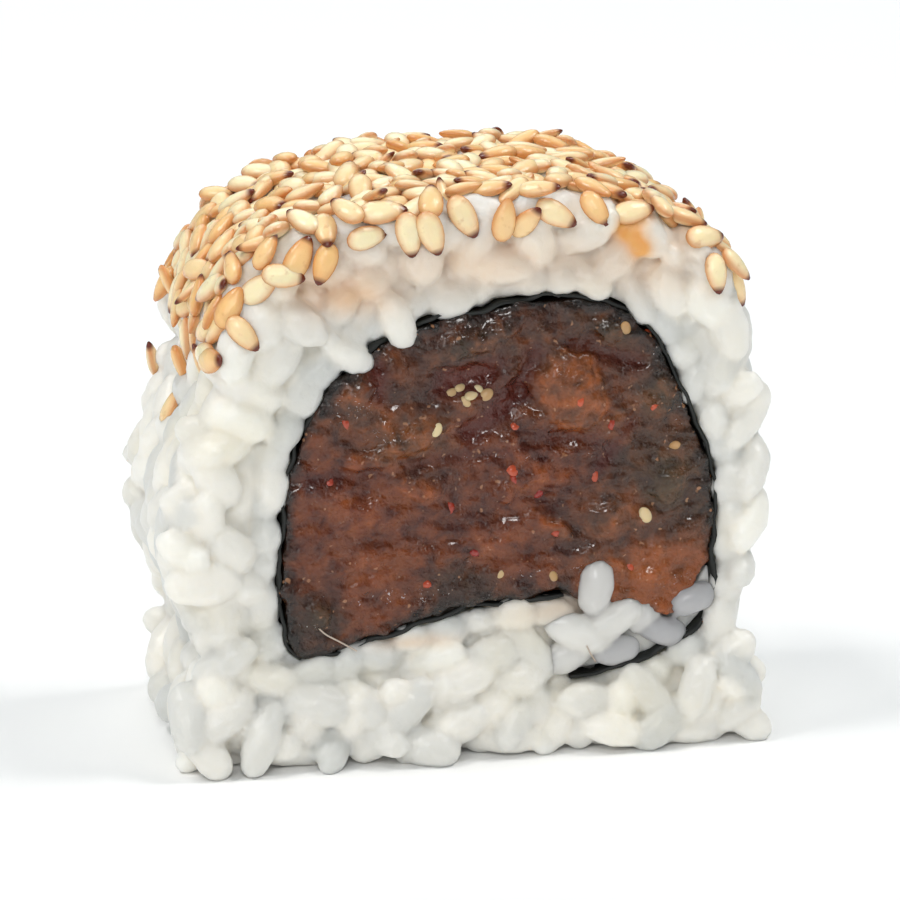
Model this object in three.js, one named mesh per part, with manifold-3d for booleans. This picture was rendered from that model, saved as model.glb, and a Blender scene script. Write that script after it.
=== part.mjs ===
// One cut piece of uramaki, the inside-out sushi roll, standing on the side that it was rolled on.
// Seasoned rice is outermost, a sheet of nori lies coiled inside it, and chopped fish in sauce
// fills the nori. Toasted sesame seeds stick to the top. The nori runs one turn round the filling
// and on under itself, so that its first edge, with the rice on it, is tucked in at the base.
// X runs across the piece, Y along the roll from the near cut to the far cut, and Z upwards.
// The origin is the middle of the base. Sizes are in millimetres.

import * as THREE from "three";
import { mergeVertices } from "three/addons/utils/BufferGeometryUtils.js";
import Module from "manifold-3d";

const wasm = await Module();
wasm.setup();

// Driving dimensions.
const WIDTH = 42.4; // across the rice at its widest, over the grains
const HEIGHT = 39.2; // from the base to the highest seed
const LENGTH = 22.6; // along the roll, from cut to cut, over the grains
const FOOT_LENGTH = 24.6; // the same at the base, where the rice is pressed out
const GRAIN = { length: 5.5, width: 3.0, thickness: 2.5 }; // cooked short-grain rice
const SEED = { length: 3.2, width: 1.9, thickness: 1.0 }; // hulled sesame
const NORI_THICKNESS = 0.45;
const NORI_DEPTH = 0.3; // how far its edges lie behind the packed rice at a cut
const GAP = 0.3; // left between pieces that touch
const CUT_ROUNDING = 1.6; // of the packed rice along the edge of a cut
const GRAIN_PROUD = 1.0; // how far a grain stands out of the packed rice
const SEED_PROUD = 0.75;
const GRAINS_ON_ROLL = 60;
const GRAINS_ON_CUT = 31; // on each of the two cuts
const GRAINS_AT_FOOT = 12; // along each long edge of the base
const SEED_COUNT = 96;

// What follows from them.
const CORE_LENGTH = LENGTH - 2 * GRAIN_PROUD;
const NORI_LENGTH = CORE_LENGTH - 2 * NORI_DEPTH;
const HALF_CORE = WIDTH / 2 - GRAIN_PROUD;
const CORE_HEIGHT = HEIGHT - SEED_PROUD;
const ROLLED_GRAIN_DEPTH = GRAIN.thickness / 2 - 0.9; // a grain's middle below the rolled surface
const CUT_GRAIN_DEPTH = GRAIN.thickness / 2 - GRAIN_PROUD; // and below a cut
const SEED_RAISE = SEED_PROUD - SEED.thickness / 2; // a seed's middle above the surface

// The packed rice in section, as shares of its half width and height: a broad base, a slight
// waist above it, full sides and a low dome.
const CORE_OUTLINE = [
  [-0.94, 0],
  [-0.96, 0.065],
  [-0.87, 0.18],
  [-0.97, 0.31],
  [-1.01, 0.4],
  [-0.96, 0.52],
  [-0.86, 0.65],
  [-0.82, 0.79],
  [-0.69, 0.905],
  [-0.41, 0.973],
  [-0.05, 1.0],
  [0.35, 0.998],
  [0.64, 0.957],
  [0.84, 0.885],
  [0.94, 0.78],
  [0.98, 0.675],
  [1.01, 0.545],
  [1.01, 0.39],
  [0.94, 0.26],
  [0.92, 0.195],
  [1.0, 0.085],
  [0.94, 0],
];

// The nori's middle line, from the edge tucked in under the filling, round to its outer edge.
const NORI_ROUTE = [
  [6.5, 10.9],
  [2.2, 10.6],
  [-2.8, 9.6],
  [-7.6, 8.2],
  [-10.9, 7.4],
  [-12.5, 9.2],
  [-12.8, 14.4],
  [-12.1, 20.6],
  [-9.5, 26.0],
  [-4.4, 29.6],
  [2.5, 31.2],
  [8.6, 31.2],
  [12.5, 28.6],
  [14.9, 23.8],
  [16.8, 19.0],
  [16.9, 13.2],
  [16.7, 9.4],
  [14.2, 6.9],
  [10.6, 5.7],
  [7.0, 5.1],
];
const NORI_STEPS = 90; // along the route
const FILLING_STEPS = 64; // along the part of it that the filling lies against
const OUTLINE_STEPS = 54; // round the packed rice
// Where the nori leaves the filling at its lower right, as a share of its length.
const FILLING_END = 0.845;
// The top of the tucked-in rice, where the filling lies on rice and not on nori.
const TUCKED_RICE = [
  [14.9, 9.3],
  [12.2, 9.0],
  [9.4, 9.9],
];
const FILLING_MIDDLE = [2.2, 19.5];
const FISH_PROUD = 1.2; // how far the chopped fish stands out of the cut at the most

// A repeatable random number from 0 to 1.
let randomState = 20260;
function random() {
  randomState = (randomState + 0x6d2b79f5) | 0;
  let t = Math.imul(randomState ^ (randomState >>> 15), 1 | randomState);
  t = (t + Math.imul(t ^ (t >>> 7), 61 | t)) ^ t;
  return ((t ^ (t >>> 14)) >>> 0) / 4294967296;
}

function between(low, high) {
  return low + (high - low) * random();
}

// A closed three.js geometry as a solid for joining and cutting.
function solid(geometry) {
  const bare = geometry.clone();
  bare.deleteAttribute("normal");
  bare.deleteAttribute("uv");
  const merged = mergeVertices(bare, 1e-4);
  return new wasm.Manifold(
    new wasm.Mesh({
      numProp: 3,
      vertProperties: new Float32Array(merged.attributes.position.array),
      triVerts: new Uint32Array(merged.index.array),
    }),
  );
}

function geometryOf(manifold) {
  const mesh = manifold.getMesh();
  return new THREE.BufferGeometry()
    .setAttribute("position", new THREE.BufferAttribute(mesh.vertProperties, 3))
    .setIndex(new THREE.BufferAttribute(mesh.triVerts, 1));
}

// A section in X and Z carried along the roll by a length that is centred on the origin.
function alongRoll(points, length, rounding = 0) {
  const geometry = new THREE.ExtrudeGeometry(new THREE.Shape(points), {
    depth: length - 2 * rounding,
    bevelEnabled: rounding > 0,
    bevelThickness: rounding,
    bevelSize: rounding,
    bevelOffset: -rounding,
    bevelSegments: 2,
  });
  geometry.rotateX(Math.PI / 2);
  geometry.translate(0, length / 2 - rounding, 0);
  return geometry;
}

// The points of a section shifted sideways from a run of a curve: to its left if the offset is
// positive, going the way that the curve runs.
function offsetRun(curve, from, to, steps, offset) {
  const points = [];
  for (let i = 0; i <= steps; i++) {
    const u = from + ((to - from) * i) / steps;
    const at = curve.getPointAt(u);
    const along = curve.getTangentAt(u);
    points.push(new THREE.Vector2(at.x - along.y * offset, at.y + along.x * offset));
  }
  return points;
}

const noriCurve = new THREE.SplineCurve(NORI_ROUTE.map(([x, z]) => new THREE.Vector2(x, z)));

// A strip of the given half thickness along the nori's middle line, drawn out past both of its ends.
function noriStrip(halfThickness, past) {
  const left = offsetRun(noriCurve, 0, 1, NORI_STEPS, halfThickness);
  const right = offsetRun(noriCurve, 0, 1, NORI_STEPS, -halfThickness);
  for (const [u, index, way] of [
    [0, 0, -1],
    [1, NORI_STEPS, 1],
  ]) {
    const reach = noriCurve.getTangentAt(u).multiplyScalar(past * way);
    left[index].add(reach);
    right[index].add(reach);
  }
  return [...left, ...right.reverse()];
}

function noriGeometry() {
  return alongRoll(noriStrip(NORI_THICKNESS / 2, 0), NORI_LENGTH);
}

// The filling's outline, clear of the nori. The route runs clockwise, so the filling is on its right.
function fillingOutline(clearance, riceClearance) {
  const run = offsetRun(noriCurve, 0, FILLING_END, FILLING_STEPS, -clearance);
  const bottom = TUCKED_RICE.map(([x, z]) => new THREE.Vector2(x, z + riceClearance));
  return [...run, ...bottom];
}

// How far the chopped fish stands out of the cut at a point: soft lumps of different sizes.
function fishRelief(x, z) {
  const chunks = Math.sin(0.42 * x + 0.22 * z + 0.6) * Math.cos(0.15 * x - 0.4 * z);
  const lumps = Math.sin(0.75 * x - 0.5 * z);
  return FISH_PROUD * (0.55 + 0.3 * chunks + 0.15 * lumps);
}

// The filling is a globe drawn out to the section: its caps are the two cuts, with the relief of
// the chopped fish, and its waist is the side that lies on the nori.
function fillingGeometry() {
  const outline = fillingOutline(NORI_THICKNESS / 2 + GAP, GAP);
  const ring = new THREE.CatmullRomCurve3(
    outline.map((p) => new THREE.Vector3(p.x, 0, p.y)),
    true,
  );
  const [middleX, middleZ] = FILLING_MIDDLE;
  const around = 46;
  const rows = 14;
  const sideRows = 2; // rows on the side, between the two caps
  const capRows = (rows - sideRows) / 2;
  const globe = new THREE.SphereGeometry(1, around, rows);
  const positions = globe.attributes.position;
  const edge = ring.getSpacedPoints(around);
  for (let row = 0; row <= rows; row++) {
    const share = Math.min(1, Math.min(row, rows - row) / capRows);
    const way = row < rows / 2 ? 1 : -1;
    const sideY = ((rows / 2 - row) / (sideRows / 2)) * (NORI_LENGTH / 2);
    for (let i = 0; i <= around; i++) {
      const rim = edge[i % around];
      const x = middleX + (rim.x - middleX) * share;
      const z = middleZ + (rim.z - middleZ) * share;
      const bulge = (1 - share ** 4) * fishRelief(x * way, z);
      const capY = way * (NORI_LENGTH / 2 + bulge);
      positions.setXYZ(row * (around + 1) + i, x, share === 1 ? sideY : capY, z);
    }
  }
  return globe;
}

// The hole through the rice that holds the nori and the filling, with the gap all round.
function bore() {
  const wholeLength = 2 * FOOT_LENGTH;
  const slit = solid(alongRoll(noriStrip(NORI_THICKNESS / 2 + GAP, GAP), wholeLength));
  const hole = solid(alongRoll(fillingOutline(0, 0), wholeLength));
  return slit.add(hole);
}

// The outline of the packed rice: straight along the base, and one smooth curve over the rest.
const coreCurve = new THREE.SplineCurve(
  CORE_OUTLINE.map(([x, z]) => new THREE.Vector2(x * HALF_CORE, z * CORE_HEIGHT)),
);
const corePoints = coreCurve.getSpacedPoints(OUTLINE_STEPS);

// The outline goes on below the base, where it is cut off, so that the edge of the base stays sharp.
function coreGeometry() {
  const below = -2 * CUT_ROUNDING;
  const right = new THREE.Vector2(corePoints.at(-1).x, below);
  const left = new THREE.Vector2(corePoints[0].x, below);
  return alongRoll([...corePoints, right, left], CORE_LENGTH, CUT_ROUNDING);
}

// A grain of rice, long in Y: an ellipsoid with few sides.
function grainGeometry(scale) {
  const grain = new THREE.SphereGeometry(0.5, 6, 3);
  grain.scale(GRAIN.width * scale, GRAIN.length * scale, GRAIN.thickness * scale);
  return grain;
}

// A sesame seed, long in Y: flat, round at one end and drawn to a point at the other.
function seedGeometry(scale) {
  const seed = new THREE.SphereGeometry(0.5, 5, 3);
  const positions = seed.attributes.position;
  for (let i = 0; i < positions.count; i++) {
    const narrowing = 1 - 0.5 * positions.getY(i);
    positions.setX(i, positions.getX(i) * narrowing);
  }
  seed.scale(SEED.width * scale, SEED.length * scale, SEED.thickness * scale);
  return seed;
}

// Lays a piece at a point of a surface, with its flat side against it, its length turned in the
// surface by an angle, and its tip lifted.
function laid(geometry, spot, turn, lift) {
  const side = new THREE.Vector3().crossVectors(spot.normal, spot.along).normalize();
  const length = spot.along
    .clone()
    .multiplyScalar(Math.cos(turn))
    .addScaledVector(side, Math.sin(turn));
  const across = new THREE.Vector3().crossVectors(length, spot.normal);
  const frame = new THREE.Matrix4().makeBasis(across, length, spot.normal);
  frame.multiply(new THREE.Matrix4().makeRotationX(lift));
  frame.setPosition(spot.point);
  return geometry.applyMatrix4(frame);
}

// A place on the rolled surface, by its share of the outline and its place along the roll.
function rolledSpot(u, y, depth) {
  const at = coreCurve.getPointAt(u);
  const along = coreCurve.getTangentAt(u);
  const normal = new THREE.Vector3(-along.y, 0, along.x);
  const point = new THREE.Vector3(at.x, y, at.y).addScaledVector(normal, -depth);
  return { point, normal, along: new THREE.Vector3(along.x, 0, along.y) };
}

// A place on one of the two cuts.
function cutSpot(x, z, way, depth) {
  return {
    point: new THREE.Vector3(x, way * (CORE_LENGTH / 2 - depth), z),
    normal: new THREE.Vector3(0, way, 0),
    along: new THREE.Vector3(1, 0, 0),
  };
}

// Spots as far from each other as can be had: each is the best of several random tries.
const TRIES = 30;
function spread(count, makeSpot) {
  const spots = [];
  for (let n = 0; n < count; n++) {
    let best = null;
    let bestDistance = -1;
    for (let t = 0; t < TRIES; t++) {
      const spot = makeSpot();
      if (spot) {
        const distances = spots.map((other) => other.point.distanceTo(spot.point));
        const nearest = Math.min(...distances, 2 * WIDTH);
        if (nearest > bestDistance) {
          best = spot;
          bestDistance = nearest;
        }
      }
    }
    if (best) {
      spots.push(best);
    }
  }
  return spots;
}

// The seeds lie on the top, and come further down the left shoulder than the right one.
const SEEDED_ABOVE = { left: 0.73, right: 0.85 }; // as shares of the core's height
function isSeeded(point) {
  const across = 0.5 + point.x / (2 * HALF_CORE);
  const lowest = SEEDED_ABOVE.left + (SEEDED_ABOVE.right - SEEDED_ABOVE.left) * across;
  return point.z > lowest * CORE_HEIGHT;
}

const boreShape = fillingOutline(-NORI_THICKNESS / 2, 0);

// Whether a point of a section lies inside a closed outline.
function inside(x, z, outline) {
  let within = false;
  for (let i = 0, j = outline.length - 1; i < outline.length; j = i++) {
    const a = outline[i];
    const b = outline[j];
    const crossing = ((b.x - a.x) * (z - a.y)) / (b.y - a.y) + a.x;
    if (a.y > z !== b.y > z && x < crossing) {
      within = !within;
    }
  }
  return within;
}

function distanceTo(x, z, outline) {
  return Math.min(...outline.map((p) => Math.hypot(p.x - x, p.y - z)));
}

// Grains along the rolled surface, kept back from the rounded edges of the cuts.
function rolledGrains() {
  const reach = CORE_LENGTH - 2 * CUT_ROUNDING;
  const spots = spread(GRAINS_ON_ROLL, () => {
    const spot = rolledSpot(between(0.02, 0.98), between(-0.5, 0.5) * reach, ROLLED_GRAIN_DEPTH);
    return isSeeded(spot.point) ? null : spot;
  });
  return spots.map((spot) => {
    const grain = grainGeometry(between(0.88, 1.1));
    return solid(laid(grain, spot, between(0, Math.PI), between(-0.12, 0.12)));
  });
}

// Grains on a cut, between the nori and the rounded edge.
function cutGrains(way) {
  const spots = spread(GRAINS_ON_CUT, () => {
    const x = between(-1, 1) * HALF_CORE;
    const z = between(0.02, 0.97) * CORE_HEIGHT;
    const clear =
      inside(x, z, corePoints) &&
      !inside(x, z, boreShape) &&
      distanceTo(x, z, boreShape) > GRAIN.width / 2 &&
      distanceTo(x, z, corePoints) > CUT_ROUNDING + 0.2;
    return clear ? cutSpot(x, z, way, CUT_GRAIN_DEPTH) : null;
  });
  return spots.map((spot) => {
    const grain = grainGeometry(between(0.85, 1.08));
    return solid(laid(grain, spot, between(0, Math.PI), between(-0.5, 0.5)));
  });
}

// Grains pressed out at the foot of a cut, which lie on what the roll stands on.
function footGrains(way) {
  const footWidth = 1.84 * HALF_CORE;
  const grains = [];
  for (let i = 0; i < GRAINS_AT_FOOT; i++) {
    const x = ((i + between(0.25, 0.75)) / GRAINS_AT_FOOT - 0.5) * footWidth;
    const turn = between(0.6, 2.5);
    const reach = Math.hypot(GRAIN.length * Math.sin(turn), GRAIN.width * Math.cos(turn)) / 2;
    const y = way * (FOOT_LENGTH / 2 - between(0, 0.6) - reach);
    const spot = {
      point: new THREE.Vector3(x, y, 0.42 * GRAIN.thickness),
      normal: new THREE.Vector3(0, 0, 1),
      along: new THREE.Vector3(1, 0, 0),
    };
    grains.push(solid(laid(grainGeometry(1), spot, turn, 0)));
  }
  return grains;
}

// Seeds all over the top, each with its lower side in the rice.
function seeds() {
  const reach = CORE_LENGTH - CUT_ROUNDING;
  const spots = spread(SEED_COUNT, () => {
    const spot = rolledSpot(between(0.2, 0.8), between(-0.5, 0.5) * reach, -SEED_RAISE);
    return isSeeded(spot.point) ? spot : null;
  });
  return spots.map((spot) => {
    const seed = seedGeometry(between(0.9, 1.1));
    return solid(laid(seed, spot, between(0, 2 * Math.PI), between(-0.2, 0.2)));
  });
}

// The rice: its packed core with the grains and seeds that show fused on, cut flat at the base
// and open for the nori and the filling. Scraps that the cut leaves loose are dropped.
function riceGeometry() {
  const pieces = [
    solid(coreGeometry()),
    ...rolledGrains(),
    ...cutGrains(-1),
    ...cutGrains(1),
    ...footGrains(-1),
    ...footGrains(1),
    ...seeds(),
  ];
  const heaped = wasm.Manifold.union(pieces).trimByPlane([0, 0, 1], 0);
  const opened = heaped.subtract(bore());
  const bodies = opened.decompose().sort((a, b) => b.volume() - a.volume());
  return geometryOf(bodies[0]);
}

function piece(name, geometry, colour, roughness) {
  const material = new THREE.MeshStandardMaterial({ color: colour, roughness, metalness: 0 });
  const mesh = new THREE.Mesh(geometry, material);
  mesh.name = name;
  return mesh;
}

const roll = new THREE.Group();
roll.add(
  piece("rice", riceGeometry(), 0xe9e8df, 0.45),
  piece("nori", noriGeometry(), 0x14170f, 0.6),
  piece("filling", fillingGeometry(), 0x5d3226, 0.25),
);

export default roll;
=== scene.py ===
# One cut piece of uramaki, the inside-out sushi roll, on a pale table. Sticky rice is outermost, a
# sheet of nori lies coiled in it round chopped fish in chilli sauce, and toasted sesame covers the
# top. The pieces follow in the order in which they carry each other, and the light comes last.
# Lengths are in metres: x runs across the piece, y along the roll, and z up from the table.

import math
import bpy
import numpy as np
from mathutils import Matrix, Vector, kdtree, noise


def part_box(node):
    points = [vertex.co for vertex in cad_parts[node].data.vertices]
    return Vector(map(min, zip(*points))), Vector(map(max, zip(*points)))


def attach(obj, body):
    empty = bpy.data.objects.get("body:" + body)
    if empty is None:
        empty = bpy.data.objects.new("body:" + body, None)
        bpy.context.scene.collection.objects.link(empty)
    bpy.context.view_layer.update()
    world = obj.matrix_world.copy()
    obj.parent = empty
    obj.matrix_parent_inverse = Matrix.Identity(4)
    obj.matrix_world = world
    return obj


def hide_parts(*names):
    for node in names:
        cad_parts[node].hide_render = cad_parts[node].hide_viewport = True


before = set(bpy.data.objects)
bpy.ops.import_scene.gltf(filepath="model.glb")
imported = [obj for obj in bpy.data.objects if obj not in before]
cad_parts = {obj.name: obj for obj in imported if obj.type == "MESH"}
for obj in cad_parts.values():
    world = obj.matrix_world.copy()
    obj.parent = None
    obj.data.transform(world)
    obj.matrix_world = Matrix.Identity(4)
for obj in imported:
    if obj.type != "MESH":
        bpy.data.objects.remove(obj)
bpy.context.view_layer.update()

# The bed of rice
# Short-grain rice, cooked, dressed with vinegar and pressed with a bamboo mat until it is one sticky
# mass. The knife leaves a rounded edge along each cut, and the nori leaves a coiled slit.

MM = 0.001
rice_low, rice_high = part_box("rice")
_, nori_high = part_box("nori")
GRAIN_STANDS_OUT = 1.0 * MM
SEED_STANDS_OUT = 0.95 * MM
EDGE_ROUNDING = 1.8 * MM
CUT_BEYOND_NORI = 0.3 * MM
bed_half_width = (rice_high.x - rice_low.x) / 2 - GRAIN_STANDS_OUT
bed_height = rice_high.z - SEED_STANDS_OUT
cut_y = nori_high.y + CUT_BEYOND_NORI

# The bed in section, as shares of its half width and height: a broad foot, a waist, full sides and
# a low dome, clockwise from the left of the base.
BED_OUTLINE = [
    (-0.94, 0), (-0.96, 0.065), (-0.87, 0.18), (-0.97, 0.31), (-1.01, 0.4), (-0.96, 0.52),
    (-0.86, 0.65), (-0.82, 0.79), (-0.69, 0.905), (-0.41, 0.973), (-0.05, 1.0), (0.35, 0.998),
    (0.64, 0.957), (0.84, 0.885), (0.94, 0.78), (0.98, 0.675), (1.01, 0.545), (1.01, 0.39),
    (0.94, 0.26), (0.92, 0.195), (1.0, 0.085), (0.94, 0),
]
# The middle of the nori in the same section, in mm, from the edge under the filling round to the
# outer edge, which runs on under the first one.
NORI_ROUTE = [
    (6.5, 10.9), (2.2, 10.6), (-2.8, 9.6), (-7.6, 8.2), (-10.9, 7.4), (-12.5, 9.2), (-12.8, 14.4),
    (-12.1, 20.6), (-9.5, 26.0), (-4.4, 29.6), (2.5, 31.2), (8.6, 31.2), (12.5, 28.6), (14.9, 23.8),
    (16.8, 19.0), (16.9, 13.2), (16.7, 9.4), (14.2, 6.9), (10.6, 5.7), (7.0, 5.1),
]
# The share of the nori's length along which the filling lies on it, and then the top of the rice
# that is tucked in between its two edges, in mm.
FILLING_SHARE = 0.845
TUCKED_RICE = [(14.9, 9.3), (12.2, 9.0), (9.4, 9.9)]


def smooth_line(points, steps):
    """Evenly spaced points on a smooth line through the given ones, and the way it runs at each."""
    given = np.array(points, float)
    ends = np.vstack([given[:1], given, given[-1:]])
    fine = []
    for a, b, c, d in zip(ends, ends[1:], ends[2:], ends[3:]):
        for t in np.linspace(0, 1, 20, endpoint=False):
            bend = (2 * a - 5 * b + 4 * c - d) * t**2 + (3 * b - a - 3 * c + d) * t**3
            fine.append(0.5 * (2 * b + (c - a) * t + bend))
    fine = np.array(fine + [given[-1]])
    run = np.append(0, np.cumsum(np.linalg.norm(np.diff(fine, axis=0), axis=1)))
    even = np.linspace(0, run[-1], steps + 1)
    line = np.stack([np.interp(even, run, fine[:, k]) for k in (0, 1)], 1)
    way = np.gradient(line, axis=0)
    return line, way / np.linalg.norm(way, axis=1)[:, None]


def left_of(line, way, offset):
    """The line moved sideways by an offset, which is to its left where it is positive."""
    return line + np.stack([-way[:, 1], way[:, 0]], 1) * offset


bed_line, bed_way = smooth_line(np.array(BED_OUTLINE) * (bed_half_width, bed_height), 420)
nori_line, nori_way = smooth_line(np.array(NORI_ROUTE) * MM, 320)
filled = int(FILLING_SHARE * len(nori_line))
tucked_top = np.array(TUCKED_RICE) * MM


def cavity(clearance):
    """The outline of what the nori holds, kept clear of the nori's middle by some distance."""
    along_nori = left_of(nori_line[:filled], nori_way[:filled], -clearance)
    return np.vstack([along_nori, tucked_top])


def strip(half_thickness):
    """The outline of a strip that follows the nori's middle."""
    left = left_of(nori_line, nori_way, half_thickness)
    right = left_of(nori_line, nori_way, -half_thickness)
    return np.vstack([left, right[::-1]])


def section_solid(name, outline, half_length):
    """A solid with one section from cut to cut: a filled circle drawn out to the outline, then
    extruded along the roll."""
    bpy.ops.object.select_all(action="DESELECT")
    bpy.ops.mesh.primitive_circle_add(vertices=len(outline), radius=MM, fill_type="NGON")
    made = bpy.context.object
    made.name = name
    for vertex, (x, z) in zip(made.data.vertices, outline):
        vertex.co = (x, -half_length, z)
    bpy.ops.object.mode_set(mode="EDIT")
    bpy.ops.mesh.select_all(action="SELECT")
    bpy.ops.mesh.extrude_region_move(TRANSFORM_OT_translate={"value": (0, 2 * half_length, 0)})
    bpy.ops.mesh.select_all(action="SELECT")
    bpy.ops.mesh.normals_make_consistent(inside=False)
    bpy.ops.object.mode_set(mode="OBJECT")
    return made


def select_only(*pieces):
    """Selects some pieces and nothing else, and makes the first one active."""
    bpy.ops.object.select_all(action="DESELECT")
    for piece in pieces:
        piece.select_set(True)
    bpy.context.view_layer.objects.active = pieces[0]


def finish_with(piece, kind, **settings):
    """Adds a modifier with its settings, and applies it."""
    select_only(piece)
    modifier = piece.modifiers.new(kind.title(), kind)
    for name, value in settings.items():
        setattr(modifier, name, value)
    bpy.ops.object.modifier_apply(modifier=modifier.name)


def cut_away(piece, tool):
    """Takes one solid out of another, and the tool away."""
    finish_with(piece, "BOOLEAN", operation="DIFFERENCE", object=tool, solver="MANIFOLD")
    bpy.data.objects.remove(tool)


BED_BELOW_GRAINS = 0.75 * MM
BED_BEHIND_CUT = 1.3 * MM
bed = section_solid("rice", left_of(bed_line, bed_way, -BED_BELOW_GRAINS), cut_y - BED_BEHIND_CUT)
bpy.ops.object.mode_set(mode="EDIT")
bpy.ops.mesh.select_all(action="DESELECT")
bpy.ops.object.mode_set(mode="OBJECT")
for edge in bed.data.edges:
    a, b = (bed.data.vertices[v].co for v in edge.vertices)
    edge.select = abs(a.y - b.y) < 1e-6 and max(a.z, b.z) > 1e-5
bpy.ops.object.mode_set(mode="EDIT")
bpy.ops.mesh.bevel(offset=EDGE_ROUNDING, segments=4, clamp_overlap=True)
bpy.ops.object.mode_set(mode="OBJECT")

# The grains of rice
# Each cooked grain is 4.4 to 5.5 mm long, plump and a little bent. On the rolled side the mat has
# pressed them flat, on the cuts they lie every way, and at the foot some are squeezed out.

rng = np.random.default_rng(41)
GRAIN_LENGTH = 5.1 * MM
GRAIN_WIDTH = 2.55 * MM
GRAIN_THICKNESS = 2.15 * MM
GRAIN_SIZE = np.array([GRAIN_WIDTH, GRAIN_THICKNESS, GRAIN_LENGTH])
FOOT_REACH = rice_high.y - 0.1 * MM


def egg(segments, rings, size):
    """A ball stretched to a width, a thickness and a length, from which a grain or a seed is shaped."""
    bpy.ops.object.select_all(action="DESELECT")
    bpy.ops.mesh.primitive_uv_sphere_add(segments=segments, ring_count=rings, radius=0.5)
    bpy.ops.object.mode_set(mode="EDIT")
    bpy.ops.mesh.select_all(action="SELECT")
    bpy.ops.transform.resize(value=tuple(size), center_override=(0, 0, 0))
    bpy.ops.object.mode_set(mode="OBJECT")
    return bpy.context.object


def one_grain(segments, rings):
    """A cooked grain that stands along z, with its thickness in y: bent, and blunt where the germ was."""
    grain = egg(segments, rings, GRAIN_SIZE)
    for vertex in grain.data.vertices:
        along = 2 * vertex.co.z / GRAIN_LENGTH
        full = 1 + 0.08 * math.cos(1.4 * along) - 0.08 * along + 0.22 * along**2
        vertex.co.x *= full
        vertex.co.y = vertex.co.y * full - 0.22 * MM * along**2
        if along > 0.7:
            vertex.co.z -= 0.12 * MM * (along - 0.7) / 0.3
    return taken_apart(grain)


def taken_apart(piece):
    """The points and faces of a modelled piece, which is then put away."""
    points = np.array([v.co for v in piece.data.vertices])
    faces = np.array([list(p.vertices) + [-1] * (4 - len(p.vertices)) for p in piece.data.polygons])
    bpy.data.objects.remove(piece)
    return points, faces


def scattered(name, prototype, places):
    """One mesh of many copies. Each place is the axes, the middle, the size and the tone of a copy."""
    points, faces = prototype
    axes, middles, sizes, tones = (np.array(list(part)) for part in zip(*places))
    spread = np.einsum("nij,nj,kj->nki", axes, sizes, points) + middles[:, None]
    shift = np.arange(len(places))[:, None, None] * len(points)
    corners = np.where(faces >= 0, faces + shift, -1).reshape(-1, 4)
    mesh = bpy.data.meshes.new(name)
    mesh.from_pydata(spread.reshape(-1, 3), [], [row[row >= 0].tolist() for row in corners])
    made = bpy.data.objects.new(name, mesh)
    bpy.context.collection.objects.link(made)
    mesh.shade_smooth()
    paint(made, "tone", np.repeat(tones, len(points)))
    return made


def paint(piece, name, values):
    """Gives every point of a piece a number, which its material reads by name."""
    layer = piece.data.attributes.new(name, "FLOAT", "POINT")
    layer.data.foreach_set("value", np.asarray(values, np.float32))


def lying(out, turn, tilt=0.0):
    """The axes of a thing that lies on a surface, across it, out of the surface and along it, for a
    turn in the surface and a tilt of its far end out of it."""
    out = out / np.linalg.norm(out)
    guide = (1.0, 0.0, 0.0) if abs(out[1]) > 0.8 else (0.0, 1.0, 0.0)
    side = np.cross(out, guide)
    side /= np.linalg.norm(side)
    flat = side * math.cos(turn) + np.cross(out, side) * math.sin(turn)
    along = flat * math.cos(tilt) + out * math.sin(tilt)
    across = np.cross(out, along)
    return np.stack([across, np.cross(along, across), along], 1)


def bed_surface(share, run):
    """A place on the bed and the way out of it: the share of the way round from the left foot to the
    right one, and the run along the roll from its middle, over the rounded edge and down the cut."""
    index = share * (len(bed_line) - 1)
    steps = np.arange(len(bed_line))
    at = np.array([np.interp(index, steps, bed_line[:, k]) for k in (0, 1)])
    way = np.array([np.interp(index, steps, bed_way[:, k]) for k in (0, 1)])
    outward = np.array([-way[1], 0, way[0]])
    straight = cut_y - EDGE_ROUNDING
    turn = min(max((abs(run) - straight) / EDGE_ROUNDING, 0), math.pi / 2)
    down = max(abs(run) - straight - EDGE_ROUNDING * math.pi / 2, 0)
    side = math.copysign(1, run)
    inset = EDGE_ROUNDING * (1 - math.cos(turn)) + down
    y = side * (min(abs(run), straight) + EDGE_ROUNDING * math.sin(turn))
    place = np.array([at[0], y, at[1]]) - outward * inset
    return place, outward * math.cos(turn) + np.array([0, side, 0]) * math.sin(turn)


def nearest(line, x, z):
    """How far a point of the section lies from a line, and which way the line runs there."""
    gaps = np.hypot(line[:, 0] - x, line[:, 1] - z)
    index = int(np.argmin(gaps))
    before, after = line[max(index - 1, 0)], line[min(index + 1, len(line) - 1)]
    return gaps[index], (after - before) / max(np.linalg.norm(after - before), 1e-9)


def within(outline, x, z):
    """Whether a point of the section lies inside a closed outline."""
    a, b = outline, np.roll(outline, -1, axis=0)
    crossed = (a[:, 1] > z) != (b[:, 1] > z)
    rise = np.where(crossed, b[:, 1] - a[:, 1], 1)
    return np.count_nonzero(crossed & (x < (b[:, 0] - a[:, 0]) * (z - a[:, 1]) / rise + a[:, 0])) % 2 == 1


def half_reach(axes, size):
    """How far a turned egg shape reaches from its middle, along x, y and z."""
    return np.sqrt(((axes * size / 2) ** 2).sum(1))


def settled(axes, middle, size):
    """The middle of a grain once it stands on the table and no further out than the foot reaches."""
    reach = half_reach(axes, size)
    middle = middle.copy()
    middle[2] = max(middle[2], 0.96 * reach[2])
    middle[1] = np.clip(middle[1], -FOOT_REACH + reach[1], FOOT_REACH - reach[1])
    middle[0] = np.clip(middle[0], rice_low.x + reach[0], rice_high.x - reach[0])
    return middle


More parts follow.
